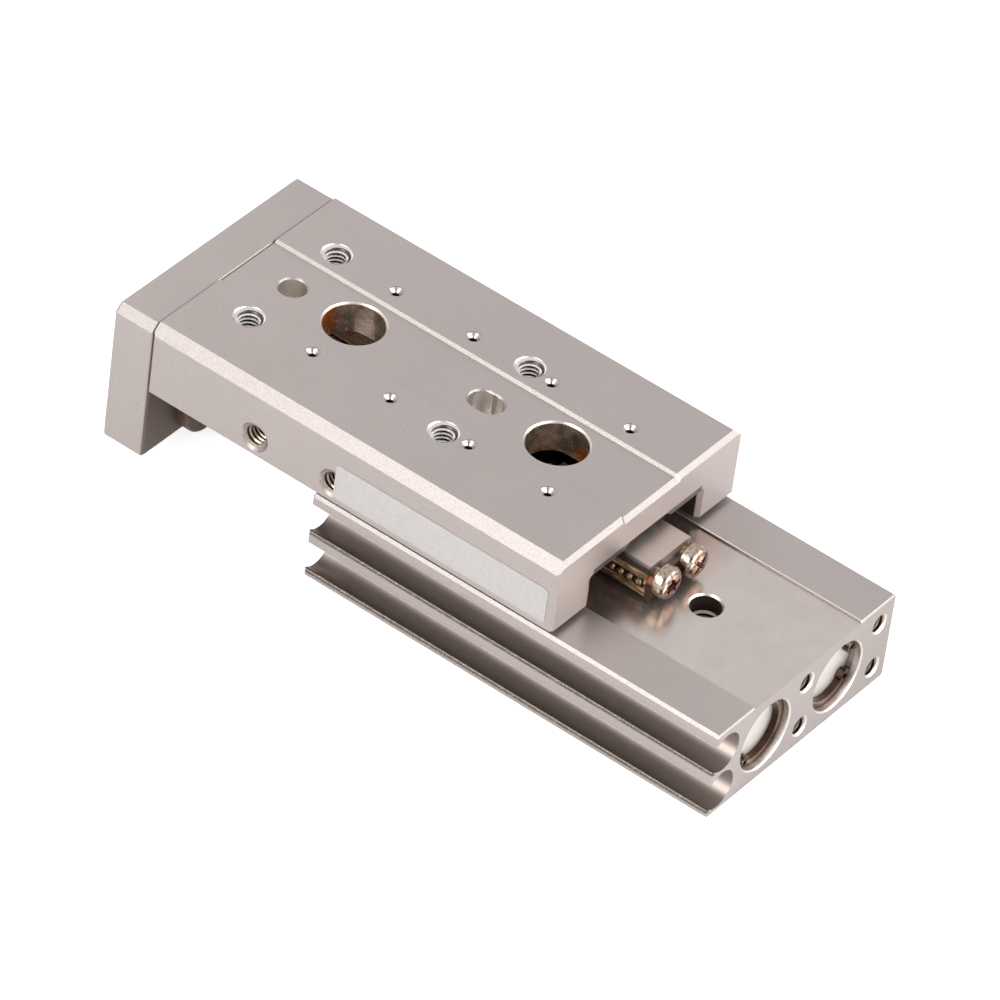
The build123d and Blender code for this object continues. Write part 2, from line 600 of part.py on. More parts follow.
def table():
    """The table with its threads, dowel hole and slot, access holes and pin holes."""
    part = bar(table_section(), TABLE_REAR, TABLE_FRONT)
    part = chamfer(end_edges(part, TABLE_REAR, TOP_FLOOR - 0.001), TABLE_END_CHAMFER)
    uprights = part.edges().filter_by(Axis.Z).filter_by(lambda e: abs(e.center().Y) > TABLE_WIDTH / 2 - FIT)
    part = chamfer(uprights, TABLE_EDGE)
    leg_edges = part.edges().filter_by_position(Axis.X, TABLE_REAR - FIT, TABLE_REAR + FIT)
    part = chamfer([e for e in leg_edges if on_leg(e.center())], CHANNEL_LEAD_IN)
    first = from_plate(TABLE_THREAD_PLACE)
    second = first - TABLE_THREAD_PITCH_X
    for x in (first, second):
        for y in (TABLE_THREAD_PITCH_Y / 2, -TABLE_THREAD_PITCH_Y / 2):
            hole = drill(M3_CORE, OVERALL_HEIGHT - CHANNEL_CEILING, M3_MOUTH_CHAMFER)
            part -= Pos(x, y, OVERALL_HEIGHT) * hole
    part -= Pos(first, 0, TOP_FLOOR) * drill(DOWEL_DIAMETER, DOWEL_DEPTH, DOWEL_CHAMFER)
    slot = slot_tool(DOWEL_DIAMETER, DOWEL_SLOT_LENGTH, DOWEL_DEPTH, DOWEL_CHAMFER)
    part -= Pos(second, 0, TOP_FLOOR) * slot
    for x in MOUNT_HOLE_X:
        hole = drill(ACCESS_DIAMETER, TOP_FLOOR - CHANNEL_CEILING, ACCESS_CHAMFER)
        part -= Pos(x + STROKE, 0, TOP_FLOOR) * hole
    for place in SIDE_THREAD_PLACES:
        mouth = Pos(from_plate(place), TABLE_WIDTH / 2, SIDE_THREAD_HEIGHT) * TO_NEAR
        part -= mouth * drill(M3_CORE, SIDE_THREAD_DEPTH, M3_MOUTH_CHAMFER)
    for x, y in pin_places():
        part -= Pos(x, y, OVERALL_HEIGHT) * drill(PIN_DIAMETER, OVERALL_HEIGHT - CHANNEL_CEILING)
    for side in SIDE.values():
        mouth = Pos(TABLE_FRONT, side * PLATE_SCREW_PITCH / 2, PLATE_SCREW_HEIGHT) * TO_FRONT
        part -= mouth * drill(PLATE_SCREW_DIAMETER, PLATE_SCREW_LENGTH + SCREW_TIP_GAP)
    return part


def rail(side):
    """A hardened strip inside one leg of the table, with the outer ball track."""
    outer = CHANNEL_WIDTH / 2 - CHANNEL_CORNER
    step = CHANNEL_WIDTH / 2
    low = TABLE_BOTTOM
    shoulder = CHANNEL_CEILING - CHANNEL_CORNER
    outline = Polyline(
        (side * (RAIL_FACE + RAIL_EDGE), low),
        (side * step, low),
        (side * step, shoulder),
        (side * outer, CHANNEL_CEILING),
        (side * (RAIL_FACE + RAIL_EDGE), CHANNEL_CEILING),
        (side * RAIL_FACE, CHANNEL_CEILING - RAIL_EDGE),
        (side * RAIL_FACE, low + RAIL_EDGE),
        (side * (RAIL_FACE + RAIL_EDGE), low),
    )
    section = make_face(outline) - Pos(side * BALL_Y, BALL_Z) * Circle(TRACK_RADIUS)
    part = bar(section, TABLE_REAR + RAIL_REAR_SETBACK, TABLE_FRONT - RAIL_FRONT_SETBACK)
    for x, y in pin_places():
        if y * side > 0:
            part -= Pos(x, y, CHANNEL_CEILING) * drill(PIN_DIAMETER, PIN_GRIP)
    return part


def rail_pins():
    """The pins pressed through the table into its rails, each with a drilled centre mark."""
    top = OVERALL_HEIGHT - PIN_SINK
    length = top - CHANNEL_CEILING + PIN_GRIP
    radius = PIN_DIAMETER / 2
    pin = Pos(0, 0, -length / 2) * Cylinder(radius, length)
    centre = PIN_CENTRE_DIAMETER / 2
    pin -= Pos(0, 0, -PIN_DIMPLE / 2) * Cone(centre, radius - FIT, PIN_DIMPLE)
    pin -= Pos(0, 0, -PIN_CENTRE_DEPTH / 2) * Cylinder(centre, PIN_CENTRE_DEPTH)
    return [Pos(x, y, top) * pin for x, y in pin_places()]


def end_plate():
    """The plate across the table's front, which the two rods push."""
    height = PLATE_TOP - PLATE_BOTTOM
    section = Pos(0, (PLATE_TOP + PLATE_BOTTOM) / 2) * Rectangle(PLATE_WIDTH, height)
    corners = section.vertices().sort_by(Axis.Y)
    section = chamfer(corners[-2:], PLATE_LONG_CHAMFER)
    section = chamfer(section.vertices().sort_by(Axis.Y)[:2], PLATE_EDGE)
    part = bar(section, TABLE_FRONT, PLATE_FRONT)
    outline = [e for x in (TABLE_FRONT, PLATE_FRONT) for e in end_edges(part, x)]
    part = chamfer(outline, PLATE_EDGE)
    for side in SIDE.values():
        screw = Pos(PLATE_FRONT, side * PLATE_SCREW_PITCH / 2, PLATE_SCREW_HEIGHT) * TO_FRONT
        part -= screw * drill(M3_CLEARANCE, PLATE_THICKNESS)
        part -= screw * drill(PLATE_SCREW_HEAD + 2 * HEAD_CLEARANCE, PLATE_SCREW_HEAD_LENGTH + HEAD_CLEARANCE)
        thread = Pos(PLATE_FRONT, side * PLATE_SCREW_PITCH / 2, PLATE_THREAD_HEIGHT) * TO_FRONT
        part -= thread * drill(M3_CORE, PLATE_THREAD_DEPTH, M3_MOUTH_CHAMFER)
    for y in BORE_Y.values():
        mouth = Pos(PLATE_FRONT, y, BORE_CENTRE_HEIGHT) * TO_FRONT
        part -= mouth * drill(ROD_BOLT_DIAMETER + 2 * FIT, PLATE_THICKNESS)
        part -= mouth * drill(ROD_BOLT_HEAD + 2 * HEAD_CLEARANCE, ROD_BOLT_HEAD_LENGTH + HEAD_CLEARANCE)
        part -= rod(ROD_DIAMETER + 2 * FIT, TABLE_FRONT, TABLE_FRONT + ROD_SPIGOT_DEPTH, y, BORE_CENTRE_HEIGHT)
    return part


def plate_screws():
    """The socket screws that hold the end plate to the table's legs."""
    head_end = PLATE_FRONT - HEAD_CLEARANCE
    seat = head_end - PLATE_SCREW_HEAD_LENGTH
    tip = TABLE_FRONT - PLATE_SCREW_LENGTH
    screws = []
    for side in SIDE.values():
        y = side * PLATE_SCREW_PITCH / 2
        z = PLATE_SCREW_HEIGHT
        screw = rod(PLATE_SCREW_HEAD, seat, head_end, y, z) + rod(PLATE_SCREW_DIAMETER, tip, seat, y, z)
        socket = extrude(RegularPolygon(PLATE_SCREW_SOCKET / 2, 6), -PLATE_SCREW_HEAD_LENGTH / 2)
        screws.append(screw - Pos(head_end, y, z) * TO_FRONT * socket)
    return screws


def nodes():
    """Every node by its name: one solid, or a list of like solids."""
    made = {
        "body": body(),
        "guide_block": guide_block(),
        "guide_block_screws": guide_block_screws(),
        "return_cap_front": return_cap(True),
        "return_cap_rear": return_cap(False),
        "return_cap_screws": return_cap_screws(),
        "piston_cushions": piston_cushions(),
        "rod_bolts": rod_bolts(),
        "table": table(),
        "rail_pins": rail_pins(),
        "end_plate": end_plate(),
        "plate_screws": plate_screws(),
    }
    for name, side in SIDE.items():
        y = BORE_Y[name]
        made["balls_" + name] = balls(side)
        made["ball_keeper_" + name] = ball_keeper(side)
        made["rail_" + name] = rail(side)
        made["bore_cap_" + name] = bore_cap(y)
        made["cap_o_ring_" + name] = o_ring(y)
        made["rear_retaining_ring_" + name] = retaining_ring(y, REAR + REAR_RING_SETBACK, REAR_GAP_TURN[name])
        made["front_retaining_ring_" + name] = retaining_ring(y, FRONT_COVER_FACE, FRONT_GAP_TURN)
        made["rod_cover_" + name] = rod_cover(y)
        made["rod_seal_" + name] = rod_seal(y)
        made["piston_rod_" + name] = piston_rod(y)
        made["piston_" + name] = piston(y)
        made["piston_seal_" + name] = piston_seal(y)
        made["magnet_" + name] = magnet(y)
        made["rod_bumper_" + name] = rod_bumper(y)
    return made


def main():
    os.makedirs("parts", exist_ok=True)
    for name, shape in nodes().items():
        if isinstance(shape, list):
            shape = Compound(children=[s for s in shape])
        export_step(shape, f"parts/{name}.step")


main()
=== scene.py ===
# %% [markdown]
# # A compact pneumatic slide table
# The object is a small actuator: a flat aluminium body with two air cylinders inside, and a table that slides out
# over its whole stroke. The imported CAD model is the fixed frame. Everything made here is placed in that same frame,
# in metres, so a piece lands where the CAD says with no fitting.

# %% Load the frame
import math
import bmesh
import bpy
from mathutils import Matrix, Vector


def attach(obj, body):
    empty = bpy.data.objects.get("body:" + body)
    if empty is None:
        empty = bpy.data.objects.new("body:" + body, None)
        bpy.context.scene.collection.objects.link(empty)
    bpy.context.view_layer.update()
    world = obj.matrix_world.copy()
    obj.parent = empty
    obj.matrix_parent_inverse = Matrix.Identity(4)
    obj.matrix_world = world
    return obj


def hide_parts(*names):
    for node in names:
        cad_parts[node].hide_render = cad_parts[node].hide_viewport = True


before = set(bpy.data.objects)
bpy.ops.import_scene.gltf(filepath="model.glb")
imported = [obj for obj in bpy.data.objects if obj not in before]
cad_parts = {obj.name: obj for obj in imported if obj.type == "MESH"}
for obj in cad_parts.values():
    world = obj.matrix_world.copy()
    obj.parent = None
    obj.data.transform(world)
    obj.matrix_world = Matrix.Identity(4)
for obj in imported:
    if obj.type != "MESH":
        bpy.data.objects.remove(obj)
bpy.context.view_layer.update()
MM = 0.001
print("nodes in the frame:", len(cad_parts))

# %% [markdown]
# ## The camera
# A long lens far away gives the nearly parallel edges of a catalogue picture. The camera stands behind the rear end,
# on the grooved side, and looks down by about forty degrees. It is turned a little about its own axis, which a
# hand-held camera often is, so its three axes are built from those angles and put in a matrix.

# %% Camera
AZIMUTH, ELEVATION, ROLL = math.radians(32.785), math.radians(40.5), math.radians(8.026)
FOCAL_PIXELS, FRAME_PIXELS, SENSOR = 8724.5, 1000.0, 36.0
CLIP_END = 10
camera_place = Vector((-347.92, 560.42, 577.97)) * MM

backwards = Vector((
    -math.sin(AZIMUTH) * math.cos(ELEVATION),
    math.cos(AZIMUTH) * math.cos(ELEVATION),
    math.sin(ELEVATION),
))
level_right = Vector((0, 0, 1)).cross(backwards).normalized()
level_up = backwards.cross(level_right)
right = level_right * math.cos(ROLL) + level_up * math.sin(ROLL)
up = level_up * math.cos(ROLL) - level_right * math.sin(ROLL)
camera_axes = Matrix((right, up, backwards)).transposed().to_4x4()

camera_data = bpy.data.cameras.new("camera")
camera_data.sensor_width = SENSOR
camera_data.lens = FOCAL_PIXELS / FRAME_PIXELS * SENSOR
camera_data.clip_end = CLIP_END
camera = bpy.data.objects.new("camera", camera_data)
bpy.context.scene.collection.objects.link(camera)
camera.matrix_world = Matrix.Translation(camera_place) @ camera_axes
bpy.context.scene.camera = camera
print("lens of the camera:", round(camera_data.lens, 1), "mm")

# %% [markdown]
# ## Floor, background and light
# The object lies on white paper that runs out to pure white. The floor is a pale sheet that glows a little, and it
# lies a hair below the object, so that the two share no plane. The world is white to the camera and to reflections,
# so metal shows a white room. The lamps are broad and soft, and each one has its own task: two for the large faces
# on the grooved side and at the rear, two that brighten the chamfers along those faces, and a weak one for the front.


# %% Node helpers
def node(tree, kind, inputs=None, **settings):
    """Adds a node, sets its plain settings, and fills or links its inputs."""
    made = tree.nodes.new(kind)
    for name, value in settings.items():
        setattr(made, name, value)
    for name, value in (inputs or {}).items():
        socket = made.inputs[name]
        if isinstance(value, bpy.types.NodeSocket):
            tree.links.new(value, socket)
        else:
            socket.default_value = value
    return made


def maths(tree, operation, *values):
    """Result of one sum on numbers."""
    return node(tree, "ShaderNodeMath", dict(enumerate(values)), operation=operation).outputs[0]


def vector_maths(tree, operation, *values):
    """Result of one sum on vectors."""
    return node(tree, "ShaderNodeVectorMath", dict(enumerate(values)), operation=operation).outputs[0]


def empty_material(name):
    """A material with no nodes, and its tree."""
    made = bpy.data.materials.new(name)
    made.use_nodes = True
    made.node_tree.nodes.clear()
    return made, made.node_tree


def show(tree, shader):
    """Links a shader node to the material's output."""
    node(tree, "ShaderNodeOutputMaterial", {"Surface": shader.outputs[0]})


# %% White world
ROOM_TINT, ROOM_STRENGTH = (1.0, 0.99, 0.98, 1), 0.55

world = bpy.data.worlds.new("white_room")
bpy.context.scene.world = world
world.use_nodes = True
tree = world.node_tree
tree.nodes.clear()
ray = node(tree, "ShaderNodeLightPath").outputs
seen = maths(tree, "MAXIMUM", ray["Is Camera Ray"], ray["Is Glossy Ray"])
seen = maths(tree, "MAXIMUM", seen, ray["Is Transmission Ray"])
room = node(tree, "ShaderNodeBackground", {"Color": ROOM_TINT, "Strength": ROOM_STRENGTH})
white = node(tree, "ShaderNodeBackground", {"Color": (1, 1, 1, 1), "Strength": 1.0})
mixed = node(tree, "ShaderNodeMixShader", {0: seen, 1: room.outputs[0], 2: white.outputs[0]})
node(tree, "ShaderNodeOutputWorld", {"Surface": mixed.outputs[0]})
bpy.context.scene.view_settings.view_transform = "Standard"


# %% Floor
FLOOR_HALF_SIZE = 1.5
FLOOR_HEIGHT = -0.05
PAPER_TONE = (0.86, 0.86, 0.86, 1)
GLOW_FOR_CAMERA, GLOW_FOR_LIGHT = 0.55, 0.12


def finished_mesh(name, work):
    """Writes a bmesh into a new mesh and frees it."""
    mesh = bpy.data.meshes.new(name)
    work.to_mesh(mesh)
    work.free()
    return mesh


def flat_sheet(name, half_size):
    """A level square sheet round the origin, in metres."""
    work = bmesh.new()
    bmesh.ops.create_grid(work, x_segments=1, y_segments=1, size=half_size)
    made = bpy.data.objects.new(name, finished_mesh(name, work))
    bpy.context.scene.collection.objects.link(made)
    return made


floor = flat_sheet("floor", FLOOR_HALF_SIZE)
floor.location.z = FLOOR_HEIGHT * MM
paper, tree = empty_material("white_paper")
ray = node(tree, "ShaderNodeLightPath").outputs
matt = node(tree, "ShaderNodeBsdfDiffuse", {"Color": PAPER_TONE})
shown = maths(tree, "MULTIPLY_ADD", ray["Is Camera Ray"], GLOW_FOR_CAMERA, GLOW_FOR_LIGHT)
glow = node(tree, "ShaderNodeEmission", {"Color": (1, 1, 1, 1), "Strength": shown})
show(tree, node(tree, "ShaderNodeAddShader", {0: matt.outputs[0], 1: glow.outputs[0]}))
floor.data.materials.append(paper)


# %% Lamps
def lamp(name, place, target, size, power):
    """A square soft lamp at a place, facing a target, both in millimetres."""
    data = bpy.data.lights.new(name, "AREA")
    data.size = size * MM
    data.energy = power
    made = bpy.data.objects.new(name, data)
    made.location = Vector(place) * MM
    made.rotation_euler = (Vector(target) - Vector(place)).to_track_quat("-Z", "Y").to_euler()
    bpy.context.scene.collection.objects.link(made)


lamp("side_lamp", (120, 520, 260), (15, 0, 8), 380, 3.15)
lamp("rear_lamp", (-520, 40, 260), (-10, 0, 8), 320, 2.8)
lamp("near_edge_lamp", (200, 320, 330), (15, 0, 12), 260, 0.2)
lamp("rear_edge_lamp", (-350, -320, 230), (0, 0, 12), 240, 0.9)
lamp("front_lamp", (300, -150, 150), (45, 0, 15), 180, 0.11)

# %% [markdown]
# A white room alone makes bright metal look like chalk. In a real one the camera and the person behind it are dark,
# and every hole and chamfer shows them as a dark notch. A dark card behind the camera does that.

# %% Dark card behind the camera
CARD_HALF_SIZE, CARD_DISTANCE = 0.3, 0.12
CARD_TONE = (0.2, 0.2, 0.2, 1)

card = flat_sheet("dark_card", CARD_HALF_SIZE)
card.matrix_world = camera.matrix_world @ Matrix.Translation((0, 0, CARD_DISTANCE))
cloth, tree = empty_material("dark_cloth")
show(tree, node(tree, "ShaderNodeBsdfDiffuse", {"Color": CARD_TONE}))
card.data.materials.append(cloth)

# %% [markdown]
# ## Bead-blasted aluminium
# The body, the table and the end plate are blasted with fine beads and clear anodised. Up close this is a field of
# tiny dents that sparkle, with a few dark specks. Holes and threads are cut afterwards, so their walls are bright and
# turned. Both finishes are in one material: the place of each hole is known, and a distance to it says where the
# finish changes. Object coordinates keep the grain at its real size on every node.


# %% Colour helpers
def new_material(name):
    """An empty node material with its tree and its Object coordinates."""
    made, tree = empty_material(name)
    return made, tree, node(tree, "ShaderNodeTexCoord").outputs["Object"]


def ramp(tree, value, stops):
    """A colour ramp with stops of (position, colour)."""
    made = node(tree, "ShaderNodeValToRGB", {"Fac": value})
    elements = made.color_ramp.elements
    while len(elements) < len(stops):
        elements.new(0.5)
    for element, (position, colour) in zip(elements, stops):
        element.position = position
        element.color = (*colour, 1)
    return made.outputs["Color"]


def noise(tree, coordinates, size, detail=2.0, roughness=0.5):
    """Noise whose grains are about size millimetres."""
    settings = {"Vector": coordinates, "Scale": 1 / (size * MM), "Detail": detail, "Roughness": roughness}
    return node(tree, "ShaderNodeTexNoise", settings).outputs["Fac"]


def mix(tree, factor, a, b):
    """Blends two colours, each a socket or a value."""
    a, b = ((*colour, 1) if isinstance(colour, tuple) else colour for colour in (a, b))
    return node(tree, "ShaderNodeMix", {0: factor, 6: a, 7: b}, data_type="RGBA").outputs[2]


def mix_value(tree, factor, a, b):
    """Blends two numbers, each a socket or a value."""
    return node(tree, "ShaderNodeMix", {0: factor, 2: a, 3: b}, data_type="FLOAT").outputs[0]


def bump(tree, height, strength, distance):
    """A normal that small relief has tilted, its distance in millimetres."""
    settings = {"Height": height, "Strength": strength, "Distance": distance * MM}
    return node(tree, "ShaderNodeBump", settings).outputs[0]


# %% Masks for places on a node
def axis_of(tree, vector, axis):
    """One component of a vector."""
    return node(tree, "ShaderNodeSeparateXYZ", {0: vector}).outputs[axis]


def normal_of(tree):
    """The face's own normal."""
    return node(tree, "ShaderNodeNewGeometry").outputs["True Normal"]


def off_middle(tree, place):
    """Distance from the upright plane through the object's middle."""
    return maths(tree, "ABSOLUTE", axis_of(tree, place, "Y"))


def near_value(tree, value, centre, reach):
    """1 where a value is within reach of a centre, both in millimetres."""
    return maths(tree, "COMPARE", value, centre * MM, reach * MM)


def fade(tree, value, start, end, low=0.0, high=1.0):
    """Goes from low to high while a value goes from start to end."""
    settings = {"Value": value, "From Min": start, "From Max": end, "To Min": low, "To Max": high}
    return node(tree, "ShaderNodeMapRange", settings).outputs[0]


def all_of(tree, first, *others):
    """1 where every mask is 1."""
    for other in others:
        first = maths(tree, "MULTIPLY", first, other)
    return first


def length_of(tree, coordinates, scale, offset):
    """Length of the coordinates after they are scaled and moved."""
    local = vector_maths(tree, "MULTIPLY_ADD", coordinates, scale, offset)
    return node(tree, "ShaderNodeVectorMath", {0: local}, operation="LENGTH").outputs["Value"]


def reach_from(tree, coordinates, spots):
    """Distance to the nearest spot, 1 on its radius. A spot is (centre, scale, radius) in millimetres, and a scale
    of 0 drops an axis."""
    nearest = None
    for centre, scale, radius in spots:
        reach = [s / radius / MM for s in scale]
        offset = [-c * MM * r for c, r in zip(centre, reach)]
        length = length_of(tree, coordinates, reach, offset)
        nearest = length if nearest is None else maths(tree, "MINIMUM", nearest, length)
    return nearest


def place_mask(tree, coordinates, spots):
    """1 inside any of the spots, 0 elsewhere."""
    return maths(tree, "LESS_THAN", reach_from(tree, coordinates, spots), 1.0)


def place_blend(tree, coordinates, spots):
    """Soft ragged patches round the given centres: (centre, radius) in millimetres."""
    rag = noise(tree, coordinates, 0.7, 3.0)
    total = None
    for centre, radius in spots:
        length = length_of(tree, coordinates, [1 / radius / MM] * 3, [-c / radius for c in centre])
        patch = fade(tree, maths(tree, "MULTIPLY_ADD", rag, 1.1, length), 1.5, 1.2)
        total = patch if total is None else maths(tree, "MAXIMUM", total, patch)
    return total


def slanted(tree):
    """1 on long chamfers and rounds, 0 on upright edges and on faces that lie square to the axes."""
    size = vector_maths(tree, "ABSOLUTE", normal_of(tree))
    x, y, z = (axis_of(tree, size, axis) for axis in "XYZ")
    most = maths(tree, "MAXIMUM", maths(tree, "MAXIMUM", x, y), z)
    return all_of(tree, maths(tree, "LESS_THAN", most, 0.95), maths(tree, "GREATER_THAN", z, 0.2))


# %% Tones of the aluminium
BLASTED = [(0.3, (0.4, 0.356, 0.342)), (0.7, (0.415, 0.37, 0.356))]
SPARKLE = [(0.34, (0.9, 0.9, 0.9)), (0.5, (1, 1, 1)), (0.66, (1.06, 1.06, 1.06))]
SPECKS = [(0.79, (1, 1, 1)), (0.83, (0.5, 0.48, 0.47))]
# CHAMFER_SHADE is a darker tone for the chamfers: painted shade that holds down the lamps' highlight there.
CHAMFER_SHADE = [(0.38, (0.275, 0.247, 0.236)), (0.62, (0.35, 0.317, 0.303))]
SEAT = [(0.3, (0.49, 0.44, 0.415)), (0.7, (0.53, 0.48, 0.455))]
# Painted shade on the seat under the table: a dark tone beside the guide block and a darker one in front of it.
SEAT_SHADE, SEAT_DEEP_SHADE = (0.3, 0.24, 0.208), (0.1, 0.068, 0.048)
# Amber for the grease in the holes and for a painted reflection of the amber caps.
GREASE_AND_REFLECTION = (0.34, 0.11, 0.03)
TURNED = [(0.3, (0.56, 0.515, 0.48)), (0.6, (0.74, 0.69, 0.655))]
# THREAD_SHADE is painted shade on the walls behind the threads.
THREAD_SHADE = (0.1, 0.083, 0.07)
# Darker brown tones for the walls of the access holes, and the colour of the painted glints on them.
BROWN_WALL_TONES = [(0.35, (0.22, 0.165, 0.125)), (0.65, (0.45, 0.355, 0.285))]
GLINT = (0.8, 0.66, 0.54)
GREASE_DROPS = [(0.62, (0.6, 0.19, 0.045)), (0.68, (0.9, 0.62, 0.48))]
BLACK, WHITE = (0, 0, 0), (1, 1, 1)

# The amber patches end just under the table's top, so that the grease lies in the holes only.
AMBER_PATCH_TOP = 19.55
SEAT_HEIGHT, SEAT_HALF_WIDTH = 10.7, 8.9


# %% Blasted aluminium
def seat_mask(tree, place):
    """1 on the level seat that the guide block stands on."""
    level = near_value(tree, axis_of(tree, place, "Z"), SEAT_HEIGHT, 0.06)
    inside = maths(tree, "LESS_THAN", off_middle(tree, place), SEAT_HALF_WIDTH * MM)
    upward = maths(tree, "GREATER_THAN", axis_of(tree, normal_of(tree), "Z"), 0.9)
    return all_of(tree, level, inside, upward)


def seat_tone(tree, place):
    """The seat: smooth metal at the rear, painted shade beside the block under the table and deeper shade in front of
    it.
    """
    length = axis_of(tree, place, "X")
    tone = ramp(tree, noise(tree, place, 3.0, 4.0), SEAT)
    tone = mix(tree, fade(tree, length, -11 * MM, -6 * MM), tone, SEAT_SHADE)
    return mix(tree, fade(tree, length, 9 * MM, 11 * MM), tone, SEAT_DEEP_SHADE)


def hole_wall(tree, place, tapped, browned, grease_and_reflection):
    """Cut metal: bright turned lines, painted shade behind threads, darker brown walls with painted glints where
    browned.
    """
    streak = vector_maths(tree, "MULTIPLY", place, (1, 1, 9))
    wall = ramp(tree, noise(tree, streak, 0.5, 2.0), TURNED)
    # Painted shade on the wall behind the threads.
    wall = mix(tree, place_mask(tree, place, tapped), wall, THREAD_SHADE)
    if browned:
        darker_wall = ramp(tree, noise(tree, place, 1.3, 1.0), BROWN_WALL_TONES)
        # Painted glints: fine noise puts pale specks on the darker brown wall.
        glints = ramp(tree, noise(tree, place, 0.15, 1.0), [(0.62, BLACK), (0.7, WHITE)])
        darker_wall = mix(tree, glints, darker_wall, GLINT)
        wall = mix(tree, place_mask(tree, place, browned), wall, darker_wall)
    if grease_and_reflection:
        wall = mix(tree, grease_and_reflection, wall, ramp(tree, noise(tree, place, 0.5, 1.0), GREASE_DROPS))
    return wall


def blasted_aluminium(name, spots, tapped, browned=(), amber_patches=(), seated=False, shades=()):
    """Blasted metal: cut walls at its spots, amber patches, painted light and shade; seated adds the smooth seat."""
    made, tree, place = new_material(name)
    grain = noise(tree, place, 0.11, 3.0, 0.65)
    tone = ramp(tree, noise(tree, place, 9.0, 2.0), BLASTED)
    tone = vector_maths(tree, "MULTIPLY", tone, ramp(tree, grain, SPARKLE))
    tone = vector_maths(tree, "MULTIPLY", tone, ramp(tree, noise(tree, place, 0.3, 1.0), SPECKS))
    # Chamfers and rounds get the darker tone by their slant: painted shade, with a grain of its own.
    tone = mix(tree, slanted(tree), tone, ramp(tree, noise(tree, place, 0.12, 2.0, 0.6), CHAMFER_SHADE))
    # Painted light and shade: each mask lays a flat tone over the metal.
    for shade, colour in shades:
        tone = mix(tree, shade(tree, place), tone, colour)
    rough = mix_value(tree, grain, 0.38, 0.48)
    if seated:
        smooth = seat_mask(tree, place)
        tone = mix(tree, smooth, tone, seat_tone(tree, place))
        rough = mix_value(tree, smooth, rough, 0.22)
    grease_and_reflection = None
    if amber_patches:
        inside = maths(tree, "LESS_THAN", axis_of(tree, place, "Z"), AMBER_PATCH_TOP * MM)
        grease_and_reflection = all_of(tree, place_blend(tree, place, amber_patches), inside)
        tone = mix(tree, grease_and_reflection, tone, GREASE_AND_REFLECTION)
    satin = node(tree, "ShaderNodeBsdfPrincipled", {
        "Base Color": tone, "Normal": bump(tree, grain, 0.42, 0.015), "Roughness": rough, "Metallic": 0.88})
    wall = hole_wall(tree, place, tapped, browned, grease_and_reflection)
    raw = node(tree, "ShaderNodeBsdfPrincipled", {"Base Color": wall, "Roughness": 0.32, "Metallic": 0.9})
    cut = place_mask(tree, place, spots)
    show(tree, node(tree, "ShaderNodeMixShader", {0: cut, 1: satin.outputs[0], 2: raw.outputs[0]}))
    return made


# %% [markdown]
# Each hole has a spot for its cut metal, and a smaller one inside it: painted shade behind the threads, and in the
# access holes a darker brown wall. A through hole drops the axis that it follows. A blind one only squashes that
# axis, so that its spot ends inside the metal.

# %% Hole places
PLATE_FRONT, BODY_REAR, TABLE_TOP, TABLE_SIDE, PORT_SIDE = 52.25, -25.5, 20.0, 15.1, -14.95
BORE_HEIGHT, PLATE_THREAD_HEIGHT = 5.4, 6.5
SCREW_HEIGHT, SCREW_OFFSET = 12.95, 2.2
ALONG_X, ALONG_Z = (0, 1, 1), (1, 1, 0)
INTO_SIDE, INTO_PLATE, INTO_REAR, DEEP_INTO_REAR = (1, 0.25, 1), (0.35, 1, 1), (0.05, 1, 1), (0.025, 1, 1)

m3_places = [(PLATE_FRONT - s, y) for s in (11.0, 36.0) for y in (7.05, -7.05)]
pin_places = [(PLATE_FRONT - 19.0 - 10.0 * n, y) for y in (6.75, -6.75) for n in range(4)]
side_places = [(33.25, 13.75), (23.25, 13.75)]
rear_places = [(y, BORE_HEIGHT + z) for y in (-0.3, -12.55) for z in (2.9, -2.9)]
plate_places = (11.3, -11.3)
port_places = (18.11, -19.01)
body_places = (13.25, -12.75)

m3_centres = [(x, y, 0) for x, y in m3_places]
access_centres = [(33.25, 0, 0), (7.25, 0, 0)]
dowel_centres = [(41.25, 0, 0), (15.75, 0, 0), (16.75, 0, 0)]
side_centres = [(x, TABLE_SIDE, z) for x, z in side_places]
bore_centres = [(0, y, BORE_HEIGHT) for y in (6.05, -6.05)]
rear_centres = [(BODY_REAR, y, z) for y, z in rear_places]
body_centres = [(x, 0, 0) for x in body_places]
port_centres = [(x, PORT_SIDE, BORE_HEIGHT) for x in port_places]
plate_centres = [(PLATE_FRONT, y, PLATE_THREAD_HEIGHT) for y in plate_places]


def spots_of(*kinds):
    """Spots of several kinds of hole, each given as (centres, scale, radius)."""
    return [(centre, scale, radius) for centres, scale, radius in kinds for centre in centres]


table_spots = spots_of((m3_centres, ALONG_Z, 1.69), (access_centres, ALONG_Z, 3.47),
                       (dowel_centres, ALONG_Z, 1.52), (side_centres, INTO_SIDE, 1.34))
table_tapped = spots_of((m3_centres, ALONG_Z, 1.5), (side_centres, INTO_SIDE, 1.42))
table_browned = spots_of((access_centres, ALONG_Z, 3.3))
# The first two patches are grease in the access holes; the third, at the near leg's inner corner, is a painted
# reflection of the amber caps.
table_grease_and_reflection = [((36.6, 0.9, 17.9), 2.7), ((5.6, -3.1, 16.7), 1.8), ((-4.4, 8.8, 14.6), 1.0)]
body_spots = spots_of((bore_centres, ALONG_X, 4.17), (rear_centres, INTO_REAR, 1.24),
                      (body_centres, ALONG_Z, 1.86), (port_centres, INTO_SIDE, 1.72))
body_tapped = spots_of((rear_centres, DEEP_INTO_REAR, 1.03), (body_centres, ALONG_Z, 1.67),
                       (port_centres, INTO_SIDE, 1.3))
plate_spots = spots_of((plate_centres, INTO_PLATE, 1.72))
plate_tapped = spots_of((plate_centres, INTO_PLATE, 1.3))


